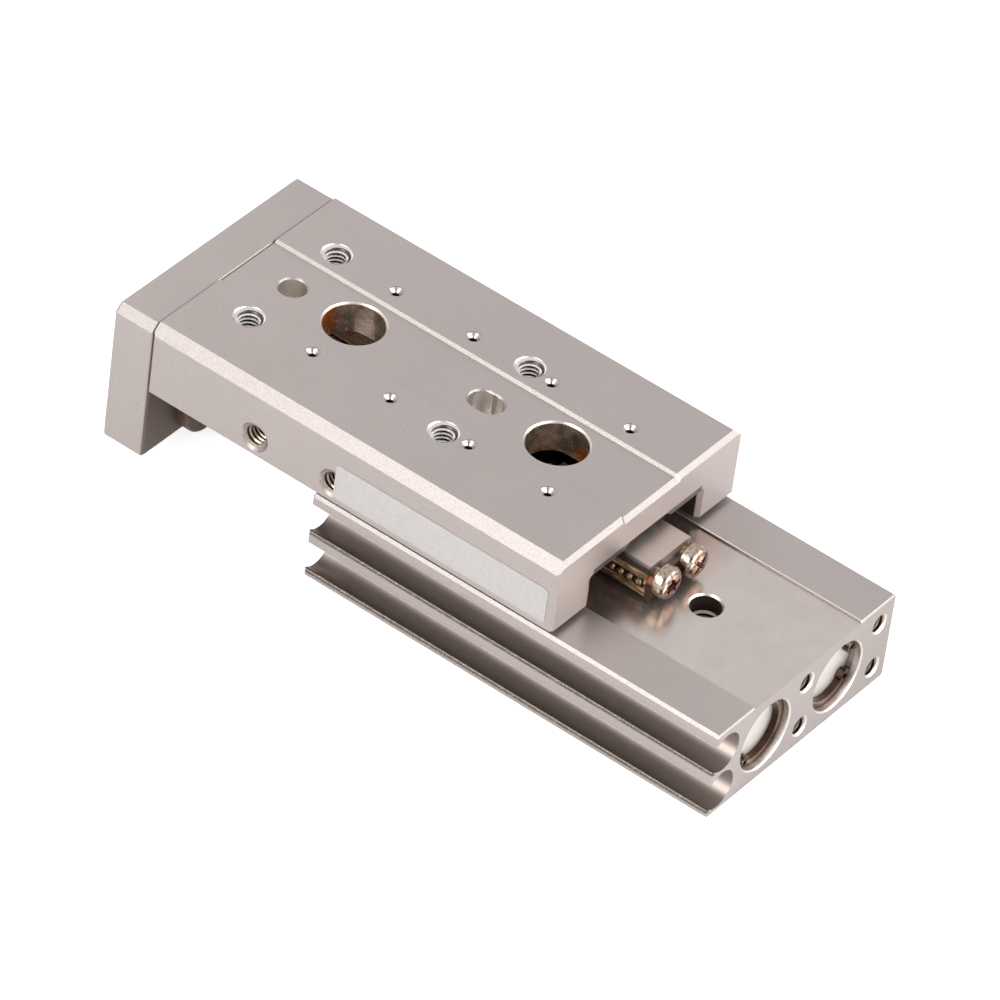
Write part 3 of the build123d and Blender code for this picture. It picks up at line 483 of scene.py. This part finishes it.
# %% Painted light and shade on the aluminium
def in_grooves(tree, place):
    """1 in the two sensor grooves, which get a darker tone: painted shade."""
    return place_mask(tree, place, [((0, 13.2, z), ALONG_X, 2.27) for z in (2.83, 7.83)])


def on_lips(tree, place):
    """0 to 1 on the lower lips of the grooves: painted shade, broken by noise so specks of the lighter tone stay as
    glints.
    """
    height = axis_of(tree, place, "Z")
    outer = maths(tree, "GREATER_THAN", axis_of(tree, place, "Y"), 14.5 * MM)
    bands = maths(tree, "ADD", near_value(tree, height, 1.05, 0.38), near_value(tree, height, 6.05, 0.38))
    dull = fade(tree, noise(tree, place, 0.13, 2.0, 0.6), 0.66, 0.55)
    return all_of(tree, outer, bands, dull)


def on_step(tree, place):
    """1 on the low wall beside the smooth seat, which gets painted shade."""
    near = maths(tree, "GREATER_THAN", axis_of(tree, normal_of(tree), "Y"), 0.95)
    return all_of(tree, near_value(tree, axis_of(tree, place, "Y"), -8.95, 0.08), near)


def on_seam(tree, place):
    """1 on a thin line beside the smooth seat, on the far side, which gets a painted highlight."""
    top = maths(tree, "GREATER_THAN", axis_of(tree, place, "Z"), 10.6 * MM)
    return all_of(tree, near_value(tree, axis_of(tree, place, "Y"), -9.03, 0.08), top)


def facing_rear(tree, place):
    """1 on the faces that look to the rear, which the table gives a lighter tone: painted light."""
    return maths(tree, "LESS_THAN", axis_of(tree, normal_of(tree), "X"), -0.95)


def in_channel(tree, place):
    """1 on the inner walls of the table, up to its ceiling, which get painted shade."""
    inner = maths(tree, "LESS_THAN", off_middle(tree, place), 8.95 * MM)
    return all_of(tree, inner, maths(tree, "LESS_THAN", axis_of(tree, place, "Z"), 16.05 * MM))


def painted_rear_shade(tree, place):
    """0.8 to 1 on the plate's rear face, rising to the top: painted shade where it faces the body under the table."""
    rear = maths(tree, "LESS_THAN", axis_of(tree, place, "X"), 47.25 * MM)
    return all_of(tree, rear, fade(tree, axis_of(tree, place, "Z"), 1 * MM, 13 * MM, 0.8, 1.0))


# Every tone in these lists is painted light or shade.
table_shades = [(facing_rear, (0.49, 0.436, 0.42)), (in_channel, (0.16, 0.135, 0.12))]
body_shades = [(in_grooves, (0.285, 0.243, 0.22)), (on_lips, (0.13, 0.108, 0.086)),
               (on_step, (0.25, 0.21, 0.19)), (on_seam, (0.72, 0.68, 0.66))]
plate_shades = [(painted_rear_shade, (0.125, 0.092, 0.07))]


# %% Give the finish to the three aluminium nodes
def dress(name, material):
    """Gives a CAD node its material."""
    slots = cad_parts[name].data.materials
    slots.clear()
    slots.append(material)


dress("table", blasted_aluminium("blasted_table", table_spots, table_tapped, table_browned, table_grease_and_reflection,
                                 shades=table_shades))
dress("body", blasted_aluminium("blasted_body", body_spots, body_tapped, seated=True, shades=body_shades))
dress("end_plate", blasted_aluminium("blasted_plate", plate_spots, plate_tapped, shades=plate_shades))

# %% [markdown]
# ## Steel, plastic and rubber
# The guide block and the rails are ground steel with fine lines along their length. The rails are oily, and their
# very dark tone is painted shade. Rods and pins are bright steel with a warm cast, the retaining rings are brown
# spring steel with a painted highlight line and painted shade at their edges, and grease darkens the balls. The caps
# and the ball keepers are amber plastic, the caps let some light in, and the keepers carry painted glints. Seals are
# rubber, and bumpers are urethane.


# %% Steel
ALONG_LENGTH, EVEN, COARSE = (0.06, 1, 1), (1, 1, 1), (0.4, 0.4, 0.4)
AMBER_OIL = (0.16, 0.065, 0.02)


def steel(name, dark, light, roughness, lines=EVEN, oily=False, tint=None, relief=0.15):
    """Steel with fine grain; lines stretches it, oily adds amber patches, tint recolours it from place to place."""
    made, tree, place = new_material(name)
    grind = noise(tree, vector_maths(tree, "MULTIPLY", place, lines), 0.12, 2.0)
    tone = ramp(tree, grind, [(0.3, dark), (0.7, light)])
    if oily:
        wet = ramp(tree, noise(tree, place, 2.2, 3.0), [(0.4, BLACK), (0.7, WHITE)])
        tone = mix(tree, wet, tone, AMBER_OIL)
    if tint:
        tone = tint(tree, place, tone)
    rough = mix_value(tree, grind, roughness * 0.7, roughness * 1.3)
    show(tree, node(tree, "ShaderNodeBsdfPrincipled", {
        "Base Color": tone, "Normal": bump(tree, grind, relief, 0.015), "Metallic": 1.0, "Roughness": rough}))
    return made


def ring_highlight_and_shade(tree, place, tone):
    """Brown spring steel with a painted highlight line along the middle of the ring's width and painted shade at its
    edges.
    """
    across = reach_from(tree, place, spots_of((bore_centres, ALONG_X, 4.0)))
    rub = ramp(tree, across, [
        (0.6, (1.0, 0.95, 0.9)), (0.775, (0.1, 0.08, 0.07)), (0.81, (0.45, 0.4, 0.36)), (0.87, (1.9, 1.8, 1.7)),
        (0.9, (0.35, 0.3, 0.27)), (0.94, (0.9, 0.8, 0.75)), (0.975, (0.1, 0.08, 0.07))])
    return vector_maths(tree, "MULTIPLY", tone, rub)


def coppery_recess(tree, place, tone):
    """Nickel that has gone coppery where the screwdriver goes in."""
    centres = [(0, y, SCREW_HEIGHT) for y in (SCREW_OFFSET, -SCREW_OFFSET)]
    copper = ramp(tree, noise(tree, place, 0.3, 2.0), [(0.4, (0.2, 0.105, 0.075)), (0.6, (0.55, 0.37, 0.29))])
    return mix(tree, place_mask(tree, place, spots_of((centres, ALONG_X, 1.4))), tone, copper)


def dark_flanks(tree, place, tone):
    """The block is darker on its sides and edges than on its top."""
    oily = fade(tree, off_middle(tree, place), 3.15 * MM, 3.35 * MM)
    return mix(tree, oily, tone, (0.12, 0.105, 0.1))


def drilled_centre(tree, place, tone):
    """Painted shade in the drilled middle of each pin."""
    centres = [(x, y, 0) for x, y in pin_places]
    return mix(tree, place_mask(tree, place, spots_of((centres, ALONG_Z, 0.38))), tone, (0.1, 0.085, 0.08))


ground = steel("ground_steel", (0.46, 0.4, 0.36), (0.51, 0.445, 0.405), 0.48, ALONG_LENGTH, tint=dark_flanks)
pin_steel = steel("pin_steel", (0.36, 0.33, 0.315), (0.56, 0.53, 0.51), 0.3, tint=drilled_centre)
# The rails' steel is very dark: painted shade, with real amber oil patches.
oily_shaded_rails = steel("oily_shaded_steel", (0.09, 0.066, 0.052), (0.17, 0.135, 0.108), 0.25, ALONG_LENGTH, oily=True)
bright = steel("bright_steel", (0.5, 0.43, 0.38), (0.72, 0.63, 0.57), 0.14)
cut_thread = steel("cut_thread", (0.55, 0.52, 0.5), (0.8, 0.77, 0.75), 0.27)
# Darker brown threads for the holes that look dark inside: painted shade.
brown_thread = steel("brown_thread", (0.22, 0.165, 0.13), (0.38, 0.31, 0.26), 0.3)
greased = steel("greased_balls", (0.08, 0.052, 0.035), (0.22, 0.15, 0.1), 0.4)
ring_steel = steel("ring_steel", (0.15, 0.096, 0.068), (0.24, 0.16, 0.118), 0.24, tint=ring_highlight_and_shade)
nickel = steel("nickel_screw", (0.27, 0.21, 0.16), (0.52, 0.44, 0.37), 0.2, COARSE, tint=coppery_recess, relief=1.0)
turned = steel("turned_aluminium", (0.7, 0.67, 0.63), (0.76, 0.73, 0.69), 0.55)
black_oxide = steel("black_oxide", (0.02, 0.02, 0.022), (0.05, 0.05, 0.052), 0.4)


# %% Plastic and rubber
def moulded(name, dark, light, roughness, glow=0.0, tint=None):
    """A moulded plastic or rubber with a soft variation in tone; tint recolours it from place to place."""
    made, tree, place = new_material(name)
    cloud = noise(tree, place, 1.4, 3.0)
    tone = ramp(tree, cloud, [(0.3, dark), (0.7, light)])
    if tint:
        tone = tint(tree, place, tone)
    rough = mix_value(tree, cloud, roughness * 0.8, roughness * 1.2)
    skin = bump(tree, noise(tree, place, 0.1, 2.0), 0.2, 0.01)
    show(tree, node(tree, "ShaderNodeBsdfPrincipled", {
        "Base Color": tone, "Normal": skin, "Roughness": rough, "Subsurface Weight": glow,
        "Subsurface Radius": (0.8 * MM, 0.3 * MM, 0.05 * MM), "Subsurface Scale": 1.0}))
    return made


def dark_foot(tree, place, tone):
    """The caps are darker on their lower part and in the middle between their screws."""
    low = fade(tree, axis_of(tree, place, "Z"), 13.3 * MM, 12.9 * MM)
    middle = fade(tree, off_middle(tree, place), 3.4 * MM, 3.0 * MM)
    return mix(tree, maths(tree, "MAXIMUM", low, middle), tone, (0.045, 0.026, 0.018))


def painted_glint_streaks(tree, place, tone):
    """Painted glints: pale streaks along the keepers, like the sheen on a glossy surface."""
    along = vector_maths(tree, "MULTIPLY", place, (0.16, 1, 1))
    pale = ramp(tree, noise(tree, along, 0.35, 3.0), [(0.52, BLACK), (0.66, WHITE)])
    return mix(tree, pale, tone, (0.5, 0.36, 0.23))


amber = moulded("amber_plastic", (0.16, 0.05, 0.014), (0.45, 0.13, 0.02), 0.15, 0.2, tint=dark_foot)
oily_amber = moulded("oily_amber", (0.06, 0.034, 0.019), (0.22, 0.13, 0.067), 0.12, tint=painted_glint_streaks)
rubber = moulded("seal_rubber", (0.012, 0.012, 0.012), (0.035, 0.034, 0.033), 0.5)
urethane = moulded("bumper_urethane", (0.05, 0.028, 0.018), (0.12, 0.07, 0.045), 0.4)
magnet = moulded("bonded_magnet", (0.03, 0.03, 0.032), (0.06, 0.06, 0.064), 0.5)

# %% Give every other node its material
in_pairs = {
    "rail": oily_shaded_rails, "balls": greased, "piston_rod": bright, "rear_retaining_ring": ring_steel,
    "front_retaining_ring": ring_steel, "bore_cap": turned, "rod_cover": turned, "piston": turned,
    "ball_keeper": oily_amber, "cap_o_ring": rubber, "rod_seal": rubber, "piston_seal": rubber,
    "rod_bumper": urethane, "magnet": magnet,
}
alone = {
    "guide_block": ground, "rail_pins": bright, "return_cap_screws": bright, "guide_block_screws": black_oxide,
    "rod_bolts": black_oxide, "plate_screws": black_oxide, "return_cap_front": amber, "return_cap_rear": amber,
    "piston_cushions": rubber,
}
for name, material in in_pairs.items():
    dress(name + "_near", material)
    dress(name + "_far", material)
for name, material in alone.items():
    dress(name, material)
print("CAD nodes with a material:", sum(bool(o.data.materials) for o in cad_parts.values()))

# %% [markdown]
# ## Threads
# A tapped hole shows a stack of ridges, bright where the cut is clean; in the holes that look dark inside they are a
# darker brown, which is painted shade. A helix is the true form: a small V is swept round the hole's axis while it
# moves down by one pitch a turn, which is what spin does when it is given a shift for each step.

# %% Thread sleeve
STEPS_PER_TURN = 36
RIDGE_HEIGHT, RIDGE_LOW, RIDGE_HIGH, RUN_IN = 0.38, 0.28, 0.24, 0.5
MOUTH_GAP, LEAST_DEPTH = 0.03, 0.02
SAME_POINT = 2e-4


def place_mesh(name, mesh, body, material, smooth=35):
    """Makes the finished piece, smooth up to an angle, and lets it ride on its body."""
    made = bpy.data.objects.new(name, mesh)
    bpy.context.scene.collection.objects.link(made)
    mesh.materials.append(material)
    mesh.shade_smooth()
    mesh.set_sharp_from_angle(angle=math.radians(smooth))
    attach(made, body)
    return made


def turned_to(outward):
    """The turn that points a piece's +Z along a direction."""
    return Vector((0, 0, 1)).rotation_difference(Vector(outward)).to_matrix().to_4x4()


def thread(name, mouth, outward, radius, depth, pitch, body, material, cone=0.0):
    """Ridges on a hole's wall, from its mouth (in millimetres) inwards. They rise from nothing and follow its cone,
    and their sizes are shares of the pitch."""
    work = bmesh.new()
    turns = max(2, int(depth / pitch))
    lead = pitch * RUN_IN
    height = pitch * RIDGE_HEIGHT
    tip = bmesh.ops.create_circle(work, segments=3, radius=height, cap_ends=True)
    low, high, inner = tip["verts"]
    low.co = (radius, 0, -pitch * RIDGE_LOW)
    high.co = (radius, 0, pitch * RIDGE_HIGH)
    inner.co = (radius - height, 0, 0)
    profile = list({e for v in tip["verts"] for e in v.link_edges}) + tip["verts"] + list(work.faces)
    bmesh.ops.spin(work, geom=profile, axis=(0, 0, 1), cent=(0, 0, 0), dvec=(0, 0, -pitch / STEPS_PER_TURN),
                   angle=2 * math.pi * turns, steps=STEPS_PER_TURN * turns)
    for v in work.verts:
        depth_here = -v.co.z - lead
        rise = (radius - v.co.xy.length) * min(1, max(0, depth_here / lead * 2))
        if depth_here < LEAST_DEPTH:
            v.co.z -= LEAST_DEPTH - depth_here
        v.co.xy *= (radius - rise + max(0, cone - max(depth_here, LEAST_DEPTH))) / v.co.xy.length
    bmesh.ops.remove_doubles(work, verts=work.verts, dist=SAME_POINT)
    bmesh.ops.delete(work, geom=[e for e in work.edges if not e.link_faces], context="EDGES")
    bmesh.ops.recalc_face_normals(work, faces=work.faces)
    in_hole = Matrix.Translation(Vector(mouth) * MM) @ turned_to(outward)
    bmesh.ops.transform(work, verts=work.verts,
                        matrix=in_hole @ Matrix.Scale(MM, 4) @ Matrix.Translation((0, 0, lead)))
    return place_mesh(name, finished_mesh(name, work), body, material, smooth=60)


M3_RADIUS, M3_PITCH = 1.24, 0.5
for n, (x, y) in enumerate(m3_places):
    thread(f"table_thread_{n}", (x, y, TABLE_TOP - MOUTH_GAP), (0, 0, 1), M3_RADIUS, 4.5, M3_PITCH, "carriage",
           cut_thread, 0.43)
for n, (x, z) in enumerate(side_places):
    thread(f"side_thread_{n}", (x, TABLE_SIDE - MOUTH_GAP, z), (0, 1, 0), M3_RADIUS, 4.4, M3_PITCH, "carriage",
           brown_thread, 0.42)
for n, (y, z) in enumerate(rear_places):
    thread(f"rear_thread_{n}", (BODY_REAR + 0.2, y, z), (-1, 0, 0), 1.015, 4.4, 0.45, "base", brown_thread)
for n, x in enumerate(body_places):
    thread(f"body_thread_{n}", (x, 0, 8.7), (0, 0, 1), 1.64, 6.7, 0.7, "base", brown_thread)
for n, y in enumerate(plate_places):
    thread(f"plate_thread_{n}", (PLATE_FRONT - MOUTH_GAP, y, PLATE_THREAD_HEIGHT), (1, 0, 0), M3_RADIUS, 4.1,
           M3_PITCH, "carriage", cut_thread, 0.42)
for n, x in enumerate(port_places):
    thread(f"port_thread_{n}", (x, PORT_SIDE + MOUTH_GAP, BORE_HEIGHT), (0, -1, 0), M3_RADIUS, 3.4, M3_PITCH,
           "base", cut_thread, 0.42)
print("threads made")

# %% [markdown]
# ## Pan-head screws with a cross recess
# The caps' screws are plain in the CAD. Here each is modelled again with its domed head and the cross that a
# screwdriver fits, cut by two tapered bars. The new screws stand for the CAD node.

# %% Screws
SCREW_OUTLINE = [(0, 1.64), (0.8, 1.62), (1.25, 1.55), (1.5, 1.43), (1.68, 1.24), (1.77, 1.0), (1.79, 0.8),
                 (1.79, 0.12), (1.68, 0.0), (0.98, 0.0), (0.98, -0.7), (0.8, -0.7), (0.8, -4.2), (0, -4.2)]
BAR_SIZE, BAR_HEIGHT, BAR_FLOOR, BAR_TAPER = (2.5, 0.52, 1.3, 1), 1.35, 1, 0.5
SEAM_WIDTH = 1e-4


def turn_outline(work, outline, steps, x=0.0, y=0.0, z=0.0):
    """Turns an outline of (radius, height) all the way round an upright axis."""
    points = [work.verts.new((x + radius, y, z + height)) for radius, height in outline]
    edges = [work.edges.new(pair) for pair in zip(points, points[1:])]
    bmesh.ops.spin(work, geom=points + edges, axis=(0, 0, 1), cent=(x, y, 0), angle=2 * math.pi, steps=steps,
                   use_merge=True)


def close_seams(work):
    """Merges the doubled points of turned forms and lets their faces look outwards."""
    bmesh.ops.remove_doubles(work, verts=work.verts, dist=SEAM_WIDTH)
    bmesh.ops.recalc_face_normals(work, faces=work.faces)


def cross_bars():
    """The two tapered bars that cut the recess."""
    cutter = bmesh.new()
    for angle in (0, math.pi / 2):
        shape = Matrix.Rotation(angle, 4, "Z") @ Matrix.Diagonal(BAR_SIZE)
        bar = bmesh.ops.create_cube(cutter, size=1.0, matrix=shape)
        for v in bar["verts"]:
            v.co.z += BAR_HEIGHT
            if v.co.z < BAR_FLOOR:
                v.co.x *= BAR_TAPER
                v.co.y *= BAR_TAPER
    return cutter


def cross_screw(name, place, outward, turn):
    """One domed screw, its head's underside at the place (in millimetres)."""
    work = bmesh.new()
    turn_outline(work, SCREW_OUTLINE, 48)
    close_seams(work)
    solid = bpy.data.objects.new(name, finished_mesh(name, work))
    tool = bpy.data.objects.new(name + "_cutter", finished_mesh(name + "_cutter", cross_bars()))
    for o in (solid, tool):
        bpy.context.scene.collection.objects.link(o)
    cut = solid.modifiers.new("recess", "BOOLEAN")
    cut.operation, cut.object, cut.solver, cut.use_self = "DIFFERENCE", tool, "EXACT", True
    bpy.context.view_layer.update()
    done = bpy.data.meshes.new_from_object(solid.evaluated_get(bpy.context.evaluated_depsgraph_get()))
    bpy.data.objects.remove(tool)
    bpy.data.objects.remove(solid)
    facing = Matrix.Translation(Vector(place) * MM) @ turned_to(outward)
    done.transform(facing @ Matrix.Rotation(turn, 4, "Z") @ Matrix.Scale(MM, 4))
    return place_mesh(name, done, "base", nickel)


REAR_CAP_FACE, FRONT_CAP_FACE = -7.75 - 0.7, 8.25 + 0.7
TO_REAR, TO_FRONT = (-1, 0, 0), (1, 0, 0)
screws = [
    cross_screw("cap_screw_rear_near", (REAR_CAP_FACE, SCREW_OFFSET, SCREW_HEIGHT), TO_REAR, 0.35),
    cross_screw("cap_screw_rear_far", (REAR_CAP_FACE, -SCREW_OFFSET, SCREW_HEIGHT), TO_REAR, 0.8),
    cross_screw("cap_screw_front_near", (FRONT_CAP_FACE, SCREW_OFFSET, SCREW_HEIGHT), TO_FRONT, 0.2),
    cross_screw("cap_screw_front_far", (FRONT_CAP_FACE, -SCREW_OFFSET, SCREW_HEIGHT), TO_FRONT, 0.6),
]
for screw in screws:
    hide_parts("return_cap_screws")
print("screws made:", len(screws))

# %% [markdown]
# ## Rail pins
# Eight pins are pressed through the table into the rails. Each shows a small countersink with a drilled centre, which
# catches the light on both sides of a dark notch. The CAD pins have the same form with few facets, so they are turned
# again here with a smooth round.

# %% Pins
PIN_OUTLINE = [(0.0, -0.95), (0.28, -0.86), (0.32, -0.5), (0.36, -0.44), (0.73, -0.03), (0.77, 0.0),
               (0.8, -0.02), (0.8, -6.5), (0.0, -6.5)]
PIN_TOP = 19.95

work = bmesh.new()
for x, y in pin_places:
    turn_outline(work, PIN_OUTLINE, 32, x, y, PIN_TOP)
close_seams(work)
bmesh.ops.transform(work, matrix=Matrix.Scale(MM, 4), verts=work.verts)
pins = place_mesh("turned_pins", finished_mesh("turned_pins", work), "carriage", pin_steel)
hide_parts("rail_pins")
print("pins made:", len(pin_places))

# %% [markdown]
# ## Sticker
# The table's near side carries a foil sticker with rounded corners. It is left bare. A thin plate with bevelled
# corners is enough, with a faint grain in its satin foil.

# %% Sticker
STICKER_SIZE, STICKER_CENTRE = (26.75, 0.06, 4.25, 1), (9.58, 15.13, 14.42)
STICKER_CORNER = 0.45

work = bmesh.new()
bmesh.ops.create_cube(work, size=1.0, matrix=Matrix.Diagonal(STICKER_SIZE))
corners = [e for e in work.edges if abs(e.verts[0].co.y - e.verts[1].co.y) > 0.01]
bmesh.ops.bevel(work, geom=corners, offset=STICKER_CORNER, segments=5, affect="EDGES", profile=0.5, material=-1)
bmesh.ops.recalc_face_normals(work, faces=work.faces)
bmesh.ops.transform(work, matrix=Matrix.Scale(MM, 4) @ Matrix.Translation(STICKER_CENTRE), verts=work.verts)
foil, tree, place = new_material("sticker_foil")
tone = ramp(tree, noise(tree, place, 0.5, 3.0), [(0.3, (0.39, 0.37, 0.36)), (0.7, (0.43, 0.41, 0.395))])
ripple = bump(tree, noise(tree, place, 4.0, 1.0), 0.3, 0.05)
show(tree, node(tree, "ShaderNodeBsdfPrincipled", {
    "Base Color": tone, "Metallic": 0.3, "Roughness": 0.45, "Normal": ripple}))
place_mesh("sticker", finished_mesh("sticker", work), "carriage", foil)
print("sticker made")
